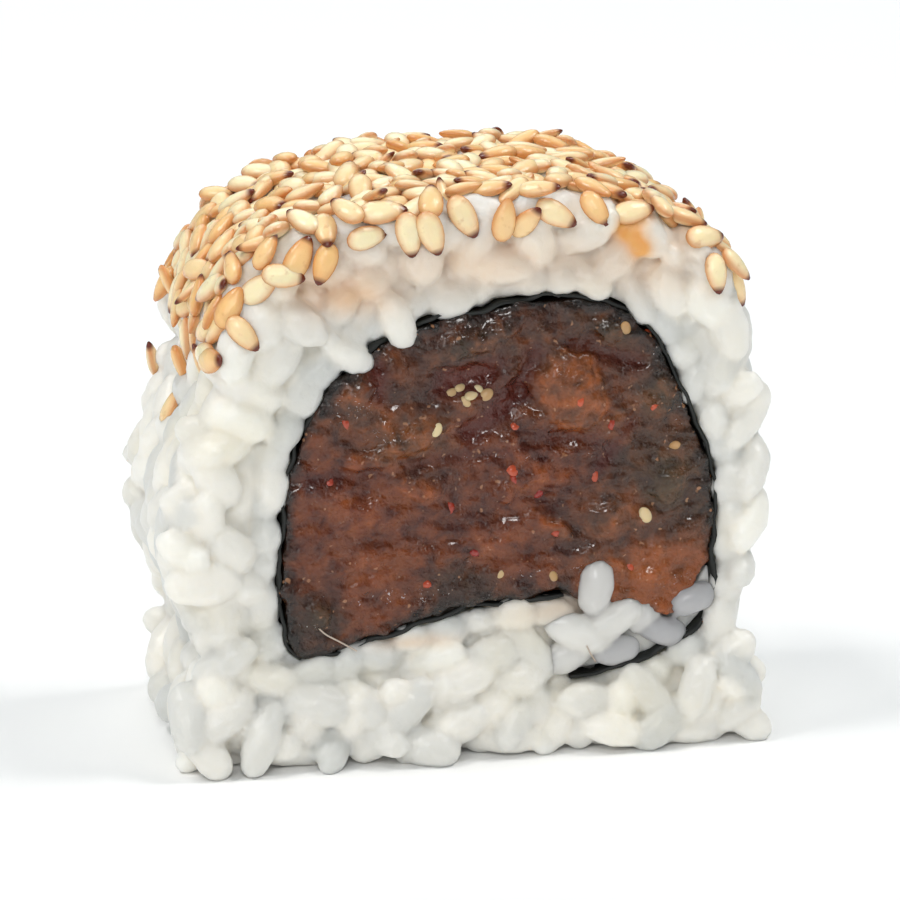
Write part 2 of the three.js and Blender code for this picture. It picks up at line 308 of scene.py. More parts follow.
def spaced(spacing, propose, given=(), most=5000, patience=500):
    """Places that keep their distance from each other and the given ones, until no more fit."""
    kept, misses = list(given), 0
    middles = np.full((most, 3), 9.0)
    for index, place in enumerate(kept):
        middles[index] = place[1]
    while misses < patience and len(kept) < most:
        place = propose()
        if place is None or np.min(np.abs(middles[: len(kept) + 1] - place[1]).sum(1)) < spacing * 0.6:
            misses += 1
        elif np.min(np.linalg.norm(middles[: len(kept) + 1] - place[1], axis=1)) < spacing:
            misses += 1
        else:
            middles[len(kept)] = place[1]
            kept.append(place)
            misses = 0
    return kept


cavity_line = cavity(-0.3 * MM)
tail_line = nori_line[filled:]
# The wedge between the filling and the tail of the nori, where the rice is loose, in mm.
WEDGE = MM * np.array([
    (16.9, 11.0), (16.7, 9.4), (14.2, 6.9), (10.6, 5.7), (7.0, 5.1), (5.6, 7.0), (6.5, 10.2),
    (9.4, 9.9), (12.2, 9.0), (14.9, 9.3),
])


def rolled_grain():
    """A grain that the mat has pressed into the rolled side."""
    share = rng.uniform(0.01, 0.99)
    run = rng.uniform(-1, 1) * (cut_y - 0.4 * EDGE_ROUNDING)
    place, out = bed_surface(share, run)
    scale = rng.uniform(0.88, 1.08)
    size = GRAIN_SIZE * scale
    axes = lying(out, rng.uniform(0, math.pi), rng.normal(0, 0.08))
    stands_out = rng.uniform(0.1, 0.45) * MM
    if place[2] > 0.86 * bed_height:
        stands_out = 0.1 * MM
    middle = place + out / np.linalg.norm(out) * (stands_out - size[1] / 2)
    return axes, settled(axes, middle, size), np.full(3, scale), rng.random()


def turn_along(out, way):
    """The turn that lays a thing on a cut along a way in the section."""
    upright = np.cross(out, (1.0, 0.0, 0.0))
    run = np.array([way[0], 0.0, way[1]])
    return math.atan2(run @ np.cross(out, upright), run @ upright)


def beside_nori(side):
    """The row of grains that press against the outside of the nori on one cut, some a little over it."""
    row = []
    out = np.array([0.0, side, 0.0])
    for index in np.arange(5, len(nori_line) - 1, 8):
        index = int(index + rng.uniform(-2, 2))
        way = nori_way[index]
        x, z = nori_line[index] + np.array([-way[1], way[0]]) * rng.uniform(0.85, 1.25) * MM
        scale = np.array([rng.uniform(0.72, 0.95), 0.85, rng.uniform(0.5, 0.8)])
        size = GRAIN_SIZE * scale
        axes = lying(out, turn_along(out, way) + rng.normal(0, 0.35), rng.normal(0, 0.1))
        reach = half_reach(axes, size)[1]
        surface = cut_y + rng.uniform(-0.5, 0.1) * MM
        if not within(WEDGE, x, z):
            # This row takes a greyer tone, 0.4 to 1: half clear rice, and painted shade by the nori.
            row.append((axes, np.array([x, side * (surface - reach), z]), scale, rng.uniform(0.4, 1.0)))
    return row


# How far the grains of a cut stay from the filling's edge, from the tail of the nori, and from the
# outline of the bed at the top and below it.
FROM_CAVITY, FROM_TAIL, FROM_EDGE_TOP, FROM_EDGE = 0.95 * MM, 1.7 * MM, 1.15 * MM, 0.7 * MM


def cut_grain(side, sunk=0.0):
    """A grain on a cut: proud at the outer edge, and further back next to the nori."""
    x = rng.uniform(-1, 1) * bed_half_width
    z = rng.uniform(0.02, 1) * bed_height
    if not within(bed_line, x, z) or within(cavity_line, x, z) or within(WEDGE, x, z):
        return None
    to_nori, nori_runs = nearest(cavity_line, x, z)
    to_tail, tail_runs = nearest(tail_line, x, z)
    to_edge, edge_runs = nearest(bed_line, x, z)
    by_top = z > 0.7 * bed_height
    if to_nori < FROM_CAVITY or to_tail < FROM_TAIL or to_edge < (FROM_EDGE_TOP if by_top else FROM_EDGE):
        return None
    if to_tail < to_nori:
        to_nori, nori_runs = to_tail, tail_runs
    out = np.array([0.0, side, 0.0])
    turn = rng.uniform(0, math.pi)
    tilt = rng.normal(0, 0.35)
    if to_nori < 2.4 * MM:
        turn = turn_along(out, nori_runs) + rng.normal(0, 0.3)
        tilt = rng.normal(0, 0.12)
    elif by_top and to_edge < 2.6 * MM:
        turn = turn_along(out, edge_runs) + rng.normal(0, 0.3)
    scale = np.array([rng.uniform(0.88, 1.1), rng.uniform(0.88, 1.1), rng.uniform(0.7, 1.08)])
    scale *= np.interp(to_nori, [0.7 * MM, 2 * MM], [0.8, 1])
    size = GRAIN_SIZE * scale
    axes = lying(out, turn, tilt)
    for tip in (-0.42, 0.42):
        tip_x, tip_z = np.array([x, z]) + tip * size[2] * axes[::2, 2]
        if within(WEDGE, tip_x, tip_z) or within(cavity_line, tip_x, tip_z):
            return None
    raised = np.interp(to_nori, [1 * MM, 5 * MM], [-0.25 * MM, 0.85 * MM])
    if z > 0.84 * bed_height:
        raised = 0.3 * MM
    dropped = EDGE_ROUNDING - math.sqrt(max(EDGE_ROUNDING**2 - max(EDGE_ROUNDING - to_edge, 0) ** 2, 0))
    surface = cut_y + raised + rng.uniform(-0.25, 0.3) * MM - dropped - sunk
    reach = half_reach(axes, size)[1]
    middle = np.array([x, side * (surface - reach), z])
    # Next to the nori the grains are given a greyer tone: partly the grey of half clear rice, partly
    # painted shade where they lie back by the nori.
    clear = np.clip(rng.normal(np.interp(to_nori, [1 * MM, 4 * MM], [0.6, 0.25]), 0.2), 0, 1)
    return axes, settled(axes, middle, size), scale, clear


def foot_grain(side):
    """A grain pressed out at the foot of a cut."""
    x = rng.uniform(-0.97, 0.97) * bed_half_width
    z = abs(rng.normal(0, 2.0)) * MM + 0.8 * MM
    if z > 4.5 * MM or (side > 0 and x < -0.8 * bed_half_width):
        return None
    reach_out = FOOT_REACH - cut_y
    y = side * (cut_y + rng.uniform(-0.2, 1.0) * reach_out * max(0, 1 - z / (7 * MM)) - 0.4 * MM)
    scale = rng.uniform(0.86, 1.06)
    axes = lying(np.array([0.0, side, 0.5]), rng.uniform(0, math.pi), rng.normal(0, 0.3))
    middle = settled(axes, np.array([x, y, z]), GRAIN_SIZE * scale)
    return axes, middle, np.full(3, scale), rng.random()


# How far apart the middles of the grains are at least: on the rolled side, at the foot, on a cut, and
# in a second layer that lies a little further in and fills the gaps of the first.
ROLLED_APART, FOOT_APART, CUT_APART, SECOND_APART = 2.3 * MM, 2.5 * MM, 2.1 * MM, 2.2 * MM
SECOND_SUNK = 1.0 * MM
rolled = spaced(ROLLED_APART, rolled_grain)
near_foot = spaced(FOOT_APART, lambda: foot_grain(-1))
far_foot = spaced(FOOT_APART, lambda: foot_grain(1))
near_places = spaced(CUT_APART, lambda: cut_grain(-1), beside_nori(-1)) + near_foot
# Three grains hang over the nori: the place in mm, the turn from upright in degrees, and how far each
# stands out in mm.
for x, z, turn, out_by in ((-4.9, 30.4, -20, 0.7), (-8.2, 28.2, -60, 0.3), (-13.2, 19.6, 0, 0.1)):
    axes = lying(np.array([0.0, -1.0, 0.0]), -math.radians(turn))
    middle = np.array([x * MM, GRAIN_THICKNESS / 2 - cut_y - out_by * MM, z * MM])
    near_places.append((axes, middle, np.full(3, 0.82), 0.3))
near_places += spaced(SECOND_APART, lambda: cut_grain(-1, SECOND_SUNK))
far_places = spaced(CUT_APART, lambda: cut_grain(1), beside_nori(1)) + far_foot
far_places += spaced(SECOND_APART, lambda: cut_grain(1, SECOND_SUNK))

grain_shape = one_grain(12, 8)
# The soft dents in the skin of the grains: how far apart they lie, and how deep they are in mm.
DENT_SPACING = 1.6 * MM
DENT_DEPTH = 0.11


def melted(name, places, voxel, base=None, shape=grain_shape):
    """Grains stuck into one mass, on a base where there is one, with soft creases between them."""
    mass = scattered(name, shape, places)
    if base:
        select_only(base, mass)
        bpy.ops.object.join()
        mass = base
    finish_with(mass, "REMESH", mode="VOXEL", voxel_size=voxel)
    finish_with(mass, "SMOOTH", factor=0.5, iterations=1)
    normals = [vertex.normal.copy() for vertex in mass.data.vertices]
    for vertex, normal in zip(mass.data.vertices, normals):
        dents = noise.fractal(vertex.co / DENT_SPACING, 0.8, 2.0, 3)
        vertex.co += normal * DENT_DEPTH * MM * dents
        vertex.co.z = max(vertex.co.z, 0.0)
    mass.data.shade_smooth()
    return mass


def owners(piece, places, size):
    """Which of the copies each point of a melted piece belongs to."""
    tree = kdtree.KDTree(len(places))
    for index, place in enumerate(places):
        tree.insert(place[1], index)
    tree.balance()
    near = np.array([[found[1] for found in tree.find_n(v.co, 4)] for v in piece.data.vertices])
    points = np.array([v.co for v in piece.data.vertices])
    axes, middles, sizes, _ = (np.array(list(part))[near] for part in zip(*places))
    inward = np.einsum("nkij,nki->nkj", axes, points[:, None] - middles)
    gaps = ((inward / (size * sizes)) ** 2).sum(2)
    return near[np.arange(len(near)), gaps.argmin(1)]


def evened(piece, values, rounds):
    """The values at the points of a piece, each blended with those of the points next to it."""
    edges = np.array([edge.vertices for edge in piece.data.edges])
    neighbours = np.maximum(np.bincount(edges.ravel(), minlength=len(values)), 1)
    for _ in range(rounds):
        total = np.bincount(edges.ravel(), values[edges[:, ::-1]].ravel(), len(values))
        values = 0.4 * values + 0.6 * total / neighbours
    return values


# How fine the creases between the grains are, then the bore for the filling and the slit for the nori.
CREASE = 0.24 * MM
BORE_CLEARANCE = 0.15 * MM
SLIT_HALF = 0.28 * MM
BORE_HALF_LENGTH = cut_y - 1.0 * MM
MOST_TRIANGLES = 192000
all_grains = rolled + near_places + far_places
bed = melted("rice", all_grains, CREASE, bed)
cut_away(bed, section_solid("cavity", cavity(-BORE_CLEARANCE), BORE_HALF_LENGTH))
cut_away(bed, section_solid("slit", strip(SLIT_HALF), BORE_HALF_LENGTH))
finish_with(bed, "TRIANGULATE")
finish_with(bed, "DECIMATE", ratio=min(1, MOST_TRIANGLES / len(bed.data.polygons)))
bed.data.shade_smooth()

# Sauce has run into the rice round the filling: the middle of each stain in mm, its reach across and
# up, and its strength. All lie on the near cut, in front of STAINED_BEFORE.
STAINS = [
    (11.7, 37.0, 0.7, 0.7, 0.9), (10.5, 36.0, 0.9, 1.0, 1.4), (11.4, 34.6, 0.7, 0.8, 1.1),
    (-7.8, 32.1, 2.2, 1.2, 0.35), (11.8, 38.0, 2.0, 0.8, 0.4),
    (15.3, 35.1, 1.0, 1.0, 0.35), (1.0, 34.0, 9.0, 2.2, 0.3), (-10.0, 33.0, 4.0, 2.0, 0.25),
    (8.0, 10.0, 5.0, 1.2, 0.3), (-4.0, 8.3, 3.0, 0.5, 0.3), (12.0, 33.0, 4.0, 2.0, 0.2),
]
STAINED_BEFORE = -6


def soft_spot(points, x, z, reach_x, reach_z):
    """How strong a spot with soft edges is at some points: 1 in its middle, seen from the front."""
    return np.exp(-(((points[:, 0] - x) / reach_x) ** 2 + ((points[:, 2] - z) / reach_z) ** 2))


tone = np.array([place[3] for place in all_grains])[owners(bed, all_grains, GRAIN_SIZE)]
paint(bed, "tone", evened(bed, tone, 3))
points = np.array([v.co for v in bed.data.vertices]) / MM
stain = np.zeros(len(points))
for *spot, strength in STAINS:
    stain += strength * soft_spot(points, *spot) * (points[:, 1] < STAINED_BEFORE)
paint(bed, "stain", np.clip(stain, 0, 1))
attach(bed, "root")
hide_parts("rice")


def colour(code):
    """An sRGB hex colour as the linear one that a shader takes."""
    parts = [int(code[i : i + 2], 16) / 255 for i in (1, 3, 5)]
    return tuple(c / 12.92 if c < 0.04045 else ((c + 0.055) / 1.055) ** 2.4 for c in parts) + (1.0,)


def add_node(material, kind, inputs=None, **settings):
    """Adds a node: settings are its properties, and inputs its sockets, each a value or a link."""
    made = material.node_tree.nodes.new(kind)
    for name, value in settings.items():
        setattr(made, name, value)
    for key, value in (inputs or {}).items():
        if isinstance(value, bpy.types.NodeSocket):
            material.node_tree.links.new(value, made.inputs[key])
        else:
            made.inputs[key].default_value = value
    return made


def new_material(name):
    """A new material and its shader."""
    material = bpy.data.materials.new(name)
    material.use_nodes = True
    shader = material.node_tree.nodes["Principled BSDF"]
    return material, shader


# Where a Mix node of colours takes its share and its two colours, and gives the result.
SHARE, FIRST, SECOND, RESULT = 0, 6, 7, 2

# Cooked rice: starch swollen with water, so light goes some way in and comes out again. It gives
# soft creases between the grains, a milky white, and a faint wet gloss. The vinegar has tinted patches
# of about two grains, 9 mm, and the film of starch wrinkles about every half millimetre.
rice_white, shader = new_material("cooked_rice")
place = add_node(rice_white, "ShaderNodeTexCoord").outputs["Object"]
tone = add_node(rice_white, "ShaderNodeAttribute", attribute_name="tone").outputs["Fac"]
warmth = add_node(
    rice_white, "ShaderNodeTexNoise", {"Vector": place, "Scale": 1 / (9 * MM), "Detail": 2.0}
).outputs["Fac"]
dressed = add_node(
    rice_white, "ShaderNodeMapRange", {"Value": warmth, "From Min": 0.55, "From Max": 0.8, "To Max": 0.35}
).outputs["Result"]
soaked = add_node(rice_white, "ShaderNodeAttribute", attribute_name="stain").outputs["Fac"]
white = colour("#f7f2e8")
# The tone paints grains grey: half clear ones, and next to the nori also as painted shade.
for share, code in ((tone, "#d3d3cf"), (dressed, "#efe3bf"), (soaked, "#e6ab64")):
    white = add_node(
        rice_white, "ShaderNodeMix", {SHARE: share, FIRST: white, SECOND: colour(code)}, data_type="RGBA"
    ).outputs[RESULT]
film = add_node(
    rice_white, "ShaderNodeTexNoise", {"Vector": place, "Scale": 1 / (0.5 * MM), "Detail": 3.0}
).outputs["Fac"]
bumps = add_node(
    rice_white, "ShaderNodeBump", {"Height": film, "Strength": 0.6, "Distance": 0.1 * MM}
).outputs["Normal"]
links = rice_white.node_tree.links
links.new(white, shader.inputs["Base Color"])
links.new(bumps, shader.inputs["Normal"])
shader.inputs["Roughness"].default_value = 0.32
shader.inputs["IOR"].default_value = 1.4
shader.inputs["Subsurface Weight"].default_value = 1.0
shader.inputs["Subsurface Radius"].default_value = (1.0, 0.97, 0.92)
shader.inputs["Subsurface Scale"].default_value = 1.1 * MM
bed.data.materials.clear()
bed.data.materials.append(rice_white)

# The loose grains
# Where the nori's outer edge tucks under the filling, the rice has been pulled apart: single grains,
# wet and half clear, lie in the wedge, and one stands up in front of the filling.

# Each grain's place in mm, the same on both cuts, its turn from upright in degrees, how far it stands
# out of the cut in mm, its length and width as shares of a whole grain, and how clear it is.
LOOSE_GRAINS = [
    (8.7, 11.4, 10, 0.5, 0.8, 0.88, 0.5), (15.5, 10.0, 72, 0.0, 0.7, 0.78, 1.0),
    (13.4, 7.9, -76, -0.1, 0.68, 0.75, 1.0), (10.3, 6.7, 82, -0.1, 0.7, 0.7, 0.9),
    (9.9, 8.9, 62, 0.2, 0.95, 0.85, 0.2), (7.4, 8.2, -66, 0.3, 0.95, 0.9, 0.1),
    (12.2, 9.1, 40, -0.2, 0.6, 0.7, 0.5), (6.6, 6.4, 75, 0.0, 0.8, 0.8, 0.3),
]
loose_places = []
for side in (-1, 1):
    for x, z, turn, out_by, length, width, clear in LOOSE_GRAINS:
        axes = lying(np.array([0.0, side, 0.0]), side * math.radians(turn))
        scale = np.array([width, width, length])
        y = side * (cut_y + min(out_by, 0.3 - 0.2 * side) * MM - width * GRAIN_THICKNESS / 2)
        loose_places.append((axes, np.array([x * MM, y, z * MM]), scale, clear))
LOOSE_CREASE = 0.14 * MM
loose = melted("loose_rice", loose_places, LOOSE_CREASE, shape=one_grain(24, 16))
finish_with(loose, "SMOOTH", factor=0.5, iterations=6)
tone = np.array([place[3] for place in loose_places])[owners(loose, loose_places, GRAIN_SIZE)]
paint(loose, "tone", evened(loose, tone, 3))
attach(loose, "root")

# Wet rice: the starch has swollen so far that the grain is half clear, greyer and a little glossy.
clear_rice, shader = new_material("wet_rice")
tone = add_node(clear_rice, "ShaderNodeAttribute", attribute_name="tone").outputs["Fac"]
milky = add_node(
    clear_rice, "ShaderNodeMix",
    {SHARE: tone, FIRST: colour("#e9e6df"), SECOND: colour("#b2b1b2")}, data_type="RGBA",
).outputs[RESULT]
clear_rice.node_tree.links.new(milky, shader.inputs["Base Color"])
shader.inputs["Roughness"].default_value = 0.25
shader.inputs["IOR"].default_value = 1.38
shader.inputs["Subsurface Weight"].default_value = 1.0
shader.inputs["Subsurface Radius"].default_value = (1.0, 0.97, 0.95)
shader.inputs["Subsurface Scale"].default_value = 2.0 * MM
loose.data.materials.clear()
loose.data.materials.append(clear_rice)

# The nori
# A sheet of pressed and roasted seaweed, gone soft in the damp rice. It winds once round the filling
# and on under its own first edge, and the grains press waves into it.

NORI_THICKNESS = 0.22 * MM
NORI_WAVE = 0.32 * MM
NORI_ACROSS = 26
bpy.ops.object.select_all(action="DESELECT")
bpy.ops.mesh.primitive_grid_add(x_subdivisions=len(nori_line) - 1, y_subdivisions=NORI_ACROSS, size=1)
sheet = bpy.context.object
sheet.name = "nori"
sideways = np.stack([-nori_way[:, 1], nori_way[:, 0]], 1)
for vertex in sheet.data.vertices:
    index = round((vertex.co.x + 0.5) * (len(nori_line) - 1))
    across = 2 * vertex.co.y
    edge = cut_y - 0.6 * MM + 0.7 * MM * noise.noise(Vector((index * 0.09, round(across), 3)))
    wave = NORI_WAVE * (
        1.9 * noise.noise(Vector((index * 0.11, across * 3, 0)))
        + 0.5 * noise.noise(Vector((index * 0.3, across * 5, 7)))
    )
    x, z = nori_line[index] + sideways[index] * wave
    vertex.co = (x, across * edge, z)
finish_with(sheet, "SOLIDIFY", thickness=NORI_THICKNESS, offset=0)
sheet.data.shade_smooth()
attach(sheet, "root")
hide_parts("nori")

# Roasted seaweed: near black with a green cast, a little glossy where it is damp. Its blades cross
# each other about every tenth of a millimetre, which is too fine to show, so they are drawn at 0.6 mm.
seaweed, shader = new_material("damp_nori")
place = add_node(seaweed, "ShaderNodeTexCoord").outputs["Object"]
fibres = add_node(
    seaweed, "ShaderNodeTexNoise", {"Vector": place, "Scale": 1 / (0.6 * MM), "Detail": 4.0}
).outputs["Fac"]
dark = add_node(
    seaweed, "ShaderNodeMix",
    {SHARE: fibres, FIRST: colour("#060706"), SECOND: colour("#141812")}, data_type="RGBA",
).outputs[RESULT]
bumps = add_node(
    seaweed, "ShaderNodeBump", {"Height": fibres, "Strength": 0.5, "Distance": 0.08 * MM}
).outputs["Normal"]
links = seaweed.node_tree.links
links.new(dark, shader.inputs["Base Color"])
links.new(bumps, shader.inputs["Normal"])
shader.inputs["Roughness"].default_value = 0.55
sheet.data.materials.append(seaweed)

# The filling
# Raw fish chopped with a knife and bound with a dark chilli sauce. The pieces lie every way, their
# wet tops stand out of the cut, and the sauce fills the creases between them.

filling_low, filling_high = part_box("filling")
filling_line = cavity(BORE_CLEARANCE)
flesh = section_solid("filling", filling_line, cut_y - 0.5 * MM)
# How far behind the cut a piece lies that stands out by nothing, how far apart the small pieces are,
# and how thick the large ones.
FISH_BEHIND_CUT = 0.4 * MM
FISH_APART = 2.2 * MM
LARGE_THICKNESS = 3.0
# The large pieces on the near cut: the middle in mm, length, width, turn from upright in degrees,
# how far it stands out in mm, and how pale and how grey its flesh is.
LARGE_PIECES = [
    (6.9, 25.2, 6.6, 5.0, -25, 1.0, 0.42, 0.3), (-4.4, 22.0, 8.0, 2.4, 62, 0.6, 0.35, 0.5),
    (-7.0, 25.4, 5.0, 3.6, 40, 0.5, 0.25, 0.5), (0.6, 28.8, 8.0, 2.6, 75, 0.4, 0.1, 0.7),
    (9.6, 29.0, 5.0, 2.4, 110, 0.3, 0.15, 0.9), (13.4, 24.6, 5.0, 3.4, 150, 0.3, 0.3, 0.8),
    (13.6, 18.6, 7.0, 4.0, 170, 0.3, 0.25, 1.0), (4.4, 19.4, 8.0, 3.6, 100, 0.3, 0.25, 0.1),
    (-7.4, 17.4, 8.0, 5.6, 100, 0.2, 0.3, 0.0), (-6.4, 12.8, 7.5, 3.6, 76, 0.1, 0.42, 0.0),
    (1.8, 15.0, 7.0, 4.2, 80, 0.2, 0.33, 0.05), (9.6, 16.2, 6.0, 5.0, 60, 0.3, 0.3, 0.5),
    (12.4, 12.0, 6.0, 2.4, 100, 0.1, 0.95, 0.0), (-10.2, 10.4, 3.0, 2.4, 60, 0.3, 0.1, 1.0),
    (-0.4, 11.9, 7.0, 1.2, 80, 0.0, 0.1, 1.0),
]
# Folds in the flesh on the near cut: from where to where in mm, the half width in mm, and how far
# the fold stands out, or goes in where it is negative.
FOLDS = [
    (-6.3, 27.0, -6.2, 25.5, 0.5, -1.0), (-1.3, 26.0, 1.7, 26.5, 0.6, -1.2),
    (3.3, 24.9, 0.0, 22.4, 0.55, -1.0), (10.9, 22.5, 8.7, 19.4, 0.35, -0.6),
    (4.4, 27.6, 3.4, 24.8, 0.4, -0.7), (-12.0, 19.8, -3.0, 20.6, 0.35, -0.4),
    (-3.0, 20.6, 3.0, 21.2, 0.35, -0.4), (-3.8, 20.8, 0.4, 23.6, 0.8, 0.5),
    (-9.5, 24.0, -4.4, 23.2, 0.8, 0.4), (-2.0, 27.6, 4.6, 28.2, 0.7, 0.4),
    (-7.4, 27.6, -7.4, 25.6, 0.5, 0.4), (-5.1, 27.6, -5.0, 25.4, 0.5, 0.4),
    (7.0, 28.2, 11.5, 26.6, 0.4, -0.5), (5.0, 22.0, 9.6, 21.4, 0.4, -0.4),
]


def fish_piece(side):
    """A chopped piece that shows on a cut, 1.2 to 2.8 mm wide and up to 5.5 mm long."""
    x = rng.uniform(filling_low.x, filling_high.x)
    z = rng.uniform(filling_low.z, filling_high.z)
    if not within(filling_line, x, z):
        return None
    to_nori = nearest(filling_line, x, z)[0]
    if to_nori < 0.8 * MM:
        return None
    scale = np.array([rng.uniform(1.2, 2.8), 1.6, rng.uniform(2.4, 5.5)])
    scale *= min(1, 0.45 + to_nori / (5 * MM))
    axes = lying(np.array([0.0, side, 0.0]), rng.uniform(0, math.pi), rng.normal(0, 0.12))
    proud = rng.uniform(-0.3, 0.4 if side < 0 else 0.9) * MM * min(1, to_nori / (3 * MM))
    reach = half_reach(axes, MM * scale)[1]
    return axes, np.array([x, side * (cut_y - FISH_BEHIND_CUT + proud - reach), z]), scale, rng.random()


large = []
for x, z, length, width, turn, proud, _, _ in LARGE_PIECES:
    axes = lying(np.array([0.0, -1.0, 0.0]), -math.radians(turn))
    scale = np.array([width, LARGE_THICKNESS, length])
    y = LARGE_THICKNESS / 2 * MM - (cut_y - FISH_BEHIND_CUT + proud * MM)
    large.append((axes, np.array([x * MM, y, z * MM]), scale, 0.5))
bpy.ops.object.select_all(action="DESELECT")
bpy.ops.mesh.primitive_uv_sphere_add(segments=24, ring_count=16, radius=0.5 * MM)
lump_shape = taken_apart(bpy.context.object)
chopped = spaced(FISH_APART, lambda: fish_piece(-1)) + spaced(FISH_APART, lambda: fish_piece(1))
pieces = scattered("chopped_fish", lump_shape, chopped + large)
select_only(flesh, pieces)
bpy.ops.object.join()
finish_with(flesh, "REMESH", mode="VOXEL", voxel_size=CREASE)
finish_with(flesh, "SMOOTH", factor=0.5, iterations=3)
whole = section_solid("filling_outline", filling_line, 2 * cut_y)
finish_with(flesh, "BOOLEAN", operation="INTERSECT", object=whole, solver="MANIFOLD")
bpy.data.objects.remove(whole)
points = np.array([v.co for v in flesh.data.vertices]) / MM
near_face = points[:, 1] < 2.0 - cut_y / MM
hollow = np.zeros(len(points))
unevenness = 1 + 0.8 * np.array([noise.noise(Vector((x, 0, z)) / 1.3) for x, _, z in points])
for x1, z1, x2, z2, half, out_by in FOLDS:
    start, way = np.array([x1, z1]), np.array([x2 - x1, z2 - z1])
    share = np.clip((points[:, ::2] - start) @ way / (way @ way), 0, 1)
    gap = np.linalg.norm(points[:, ::2] - start - share[:, None] * way, axis=1)
    reach = np.exp(-((gap / (1.6 * half * unevenness)) ** 2)) * near_face
    points[:, 1] -= 0.5 * out_by * reach
    hollow = np.maximum(hollow, -out_by * reach)
for vertex, point in zip(flesh.data.vertices, points):
    vertex.co = point * MM
flesh.data.update()
normals = [vertex.normal.copy() for vertex in flesh.data.vertices]
for vertex, normal in zip(flesh.data.vertices, normals):
    if abs(vertex.co.y) > cut_y - 2.5 * MM:
        x, y, z = vertex.co / MM
        folds = noise.fractal(Vector((x / 2.4, y / 3, z / 1.8)), 0.8, 2.0, 2)
        threads = noise.fractal(Vector((x / 1.2 + z / 2, y, z / 0.5)), 0.7, 2.0, 3)
        vertex.co += normal * MM * (0.32 * folds + 0.16 * threads)
flesh.data.shade_smooth()
# How deep each point lies in a fold that goes in; the material paints it darker red-brown, as painted shade
# with the sauce pooled there.
paint(flesh, "hollow", 0.8 * hollow)
table_of_pieces = np.array(LARGE_PIECES)
near = np.hypot(points[:, :1] - table_of_pieces[:, 0], 1.25 * (points[:, 2:] - table_of_pieces[:, 1]))
weight = 1 / (0.6 + near / (table_of_pieces[:, 2] + table_of_pieces[:, 3]) * 4) ** 5
weight /= weight.sum(1)[:, None]
paint(flesh, "pale", weight @ table_of_pieces[:, 6])
paint(flesh, "grey", weight @ table_of_pieces[:, 7])
paint(flesh, "height", np.abs(points[:, 1]) - cut_y / MM)
# Where the glints are painted thickest, as if the wet surface caught most light there: the middle in mm,
# the reach across and up.
PAINTED_GLINT_SPOTS = [
    (6.0, 26.4, 1.0, 1.3), (-8.0, 24.6, 3.2, 2.4), (0.4, 29.4, 5.0, 1.1), (8.6, 20.6, 1.6, 0.5),
    (-6.0, 22.6, 4.0, 0.7), (12.6, 27.4, 0.5, 1.4), (14.4, 22.8, 1.4, 1.6), (-4.5, 11.5, 7.0, 1.0),
    (6.4, 12.6, 7.0, 0.8), (14.0, 11.4, 2.0, 1.2), (2.0, 20.8, 4.0, 0.5), (-10.8, 9.8, 1.4, 1.2),
]
painted_glint_share = np.zeros(len(points))
for spot in PAINTED_GLINT_SPOTS:
    painted_glint_share = np.maximum(painted_glint_share, soft_spot(points, *spot))
paint(flesh, "painted_glint_share", painted_glint_share)
paint(flesh, "rim", [nearest(filling_line, v.co.x, v.co.z)[0] / MM for v in flesh.data.vertices])
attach(flesh, "root")
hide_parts("filling")

# Chopped fish in chilli sauce: wet and half clear, paler and browner on the pieces, and greyer next to the
# nori.
# It is painted dark red-brown where it lies back from the cut and in the folds, as painted shade with the
# sauce pooled there, painted near black along the nori as its shadow, and painted with small glints. The
# sauce stains patches of 1.3 mm, crumbs of spice are about 0.5 mm and the painted glints 0.3 mm. The flesh
# has fibres 0.1 to 0.2 mm thick, which are drawn at 0.6 mm so that they show.
fish, shader = new_material("chopped_fish_in_sauce")
place = add_node(fish, "ShaderNodeTexCoord").outputs["Object"]
pale, grey, height, rim, sunken, painted_glint_spots = (
    add_node(fish, "ShaderNodeAttribute", attribute_name=name).outputs["Fac"]
    for name in ("pale", "grey", "height", "rim", "hollow", "painted_glint_share")
)
patches = add_node(
    fish, "ShaderNodeTexNoise", {"Vector": place, "Scale": 1 / (1.3 * MM), "Detail": 8.0, "Distortion": 0.4}
).outputs["Fac"]
patchy = add_node(
    fish, "ShaderNodeMapRange",
    {"Value": patches, "From Min": 0.3, "From Max": 0.7, "To Min": -0.34, "To Max": 0.32},
).outputs["Result"]
paler = add_node(
    fish, "ShaderNodeMath", {0: pale, 1: patchy}, operation="ADD", use_clamp=True
).outputs["Value"]
greyer = add_node(
    fish, "ShaderNodeMath", {0: grey, 1: patchy}, operation="SUBTRACT", use_clamp=True
).outputs["Value"]
red_flesh, grey_flesh = (
    add_node(
        fish, "ShaderNodeMix", {SHARE: paler, FIRST: colour(dark), SECOND: colour(light)}, data_type="RGBA"
    ).outputs[RESULT]
    for dark, light in (("#581a07", "#b9652c"), ("#362614", "#80603a"))
)
flesh_colour = add_node(
    fish, "ShaderNodeMix", {SHARE: greyer, FIRST: red_flesh, SECOND: grey_flesh}, data_type="RGBA"
).outputs[RESULT]
# Painted shade: the flesh goes dark red-brown where it lies back from the cut.
raised = add_node(
    fish, "ShaderNodeMapRange", {"Value": height, "From Min": -0.9, "From Max": -0.1}
).outputs["Result"]
tint = add_node(
    fish, "ShaderNodeMix", {SHARE: raised, FIRST: colour("#380f05"), SECOND: flesh_colour}, data_type="RGBA"
).outputs[RESULT]
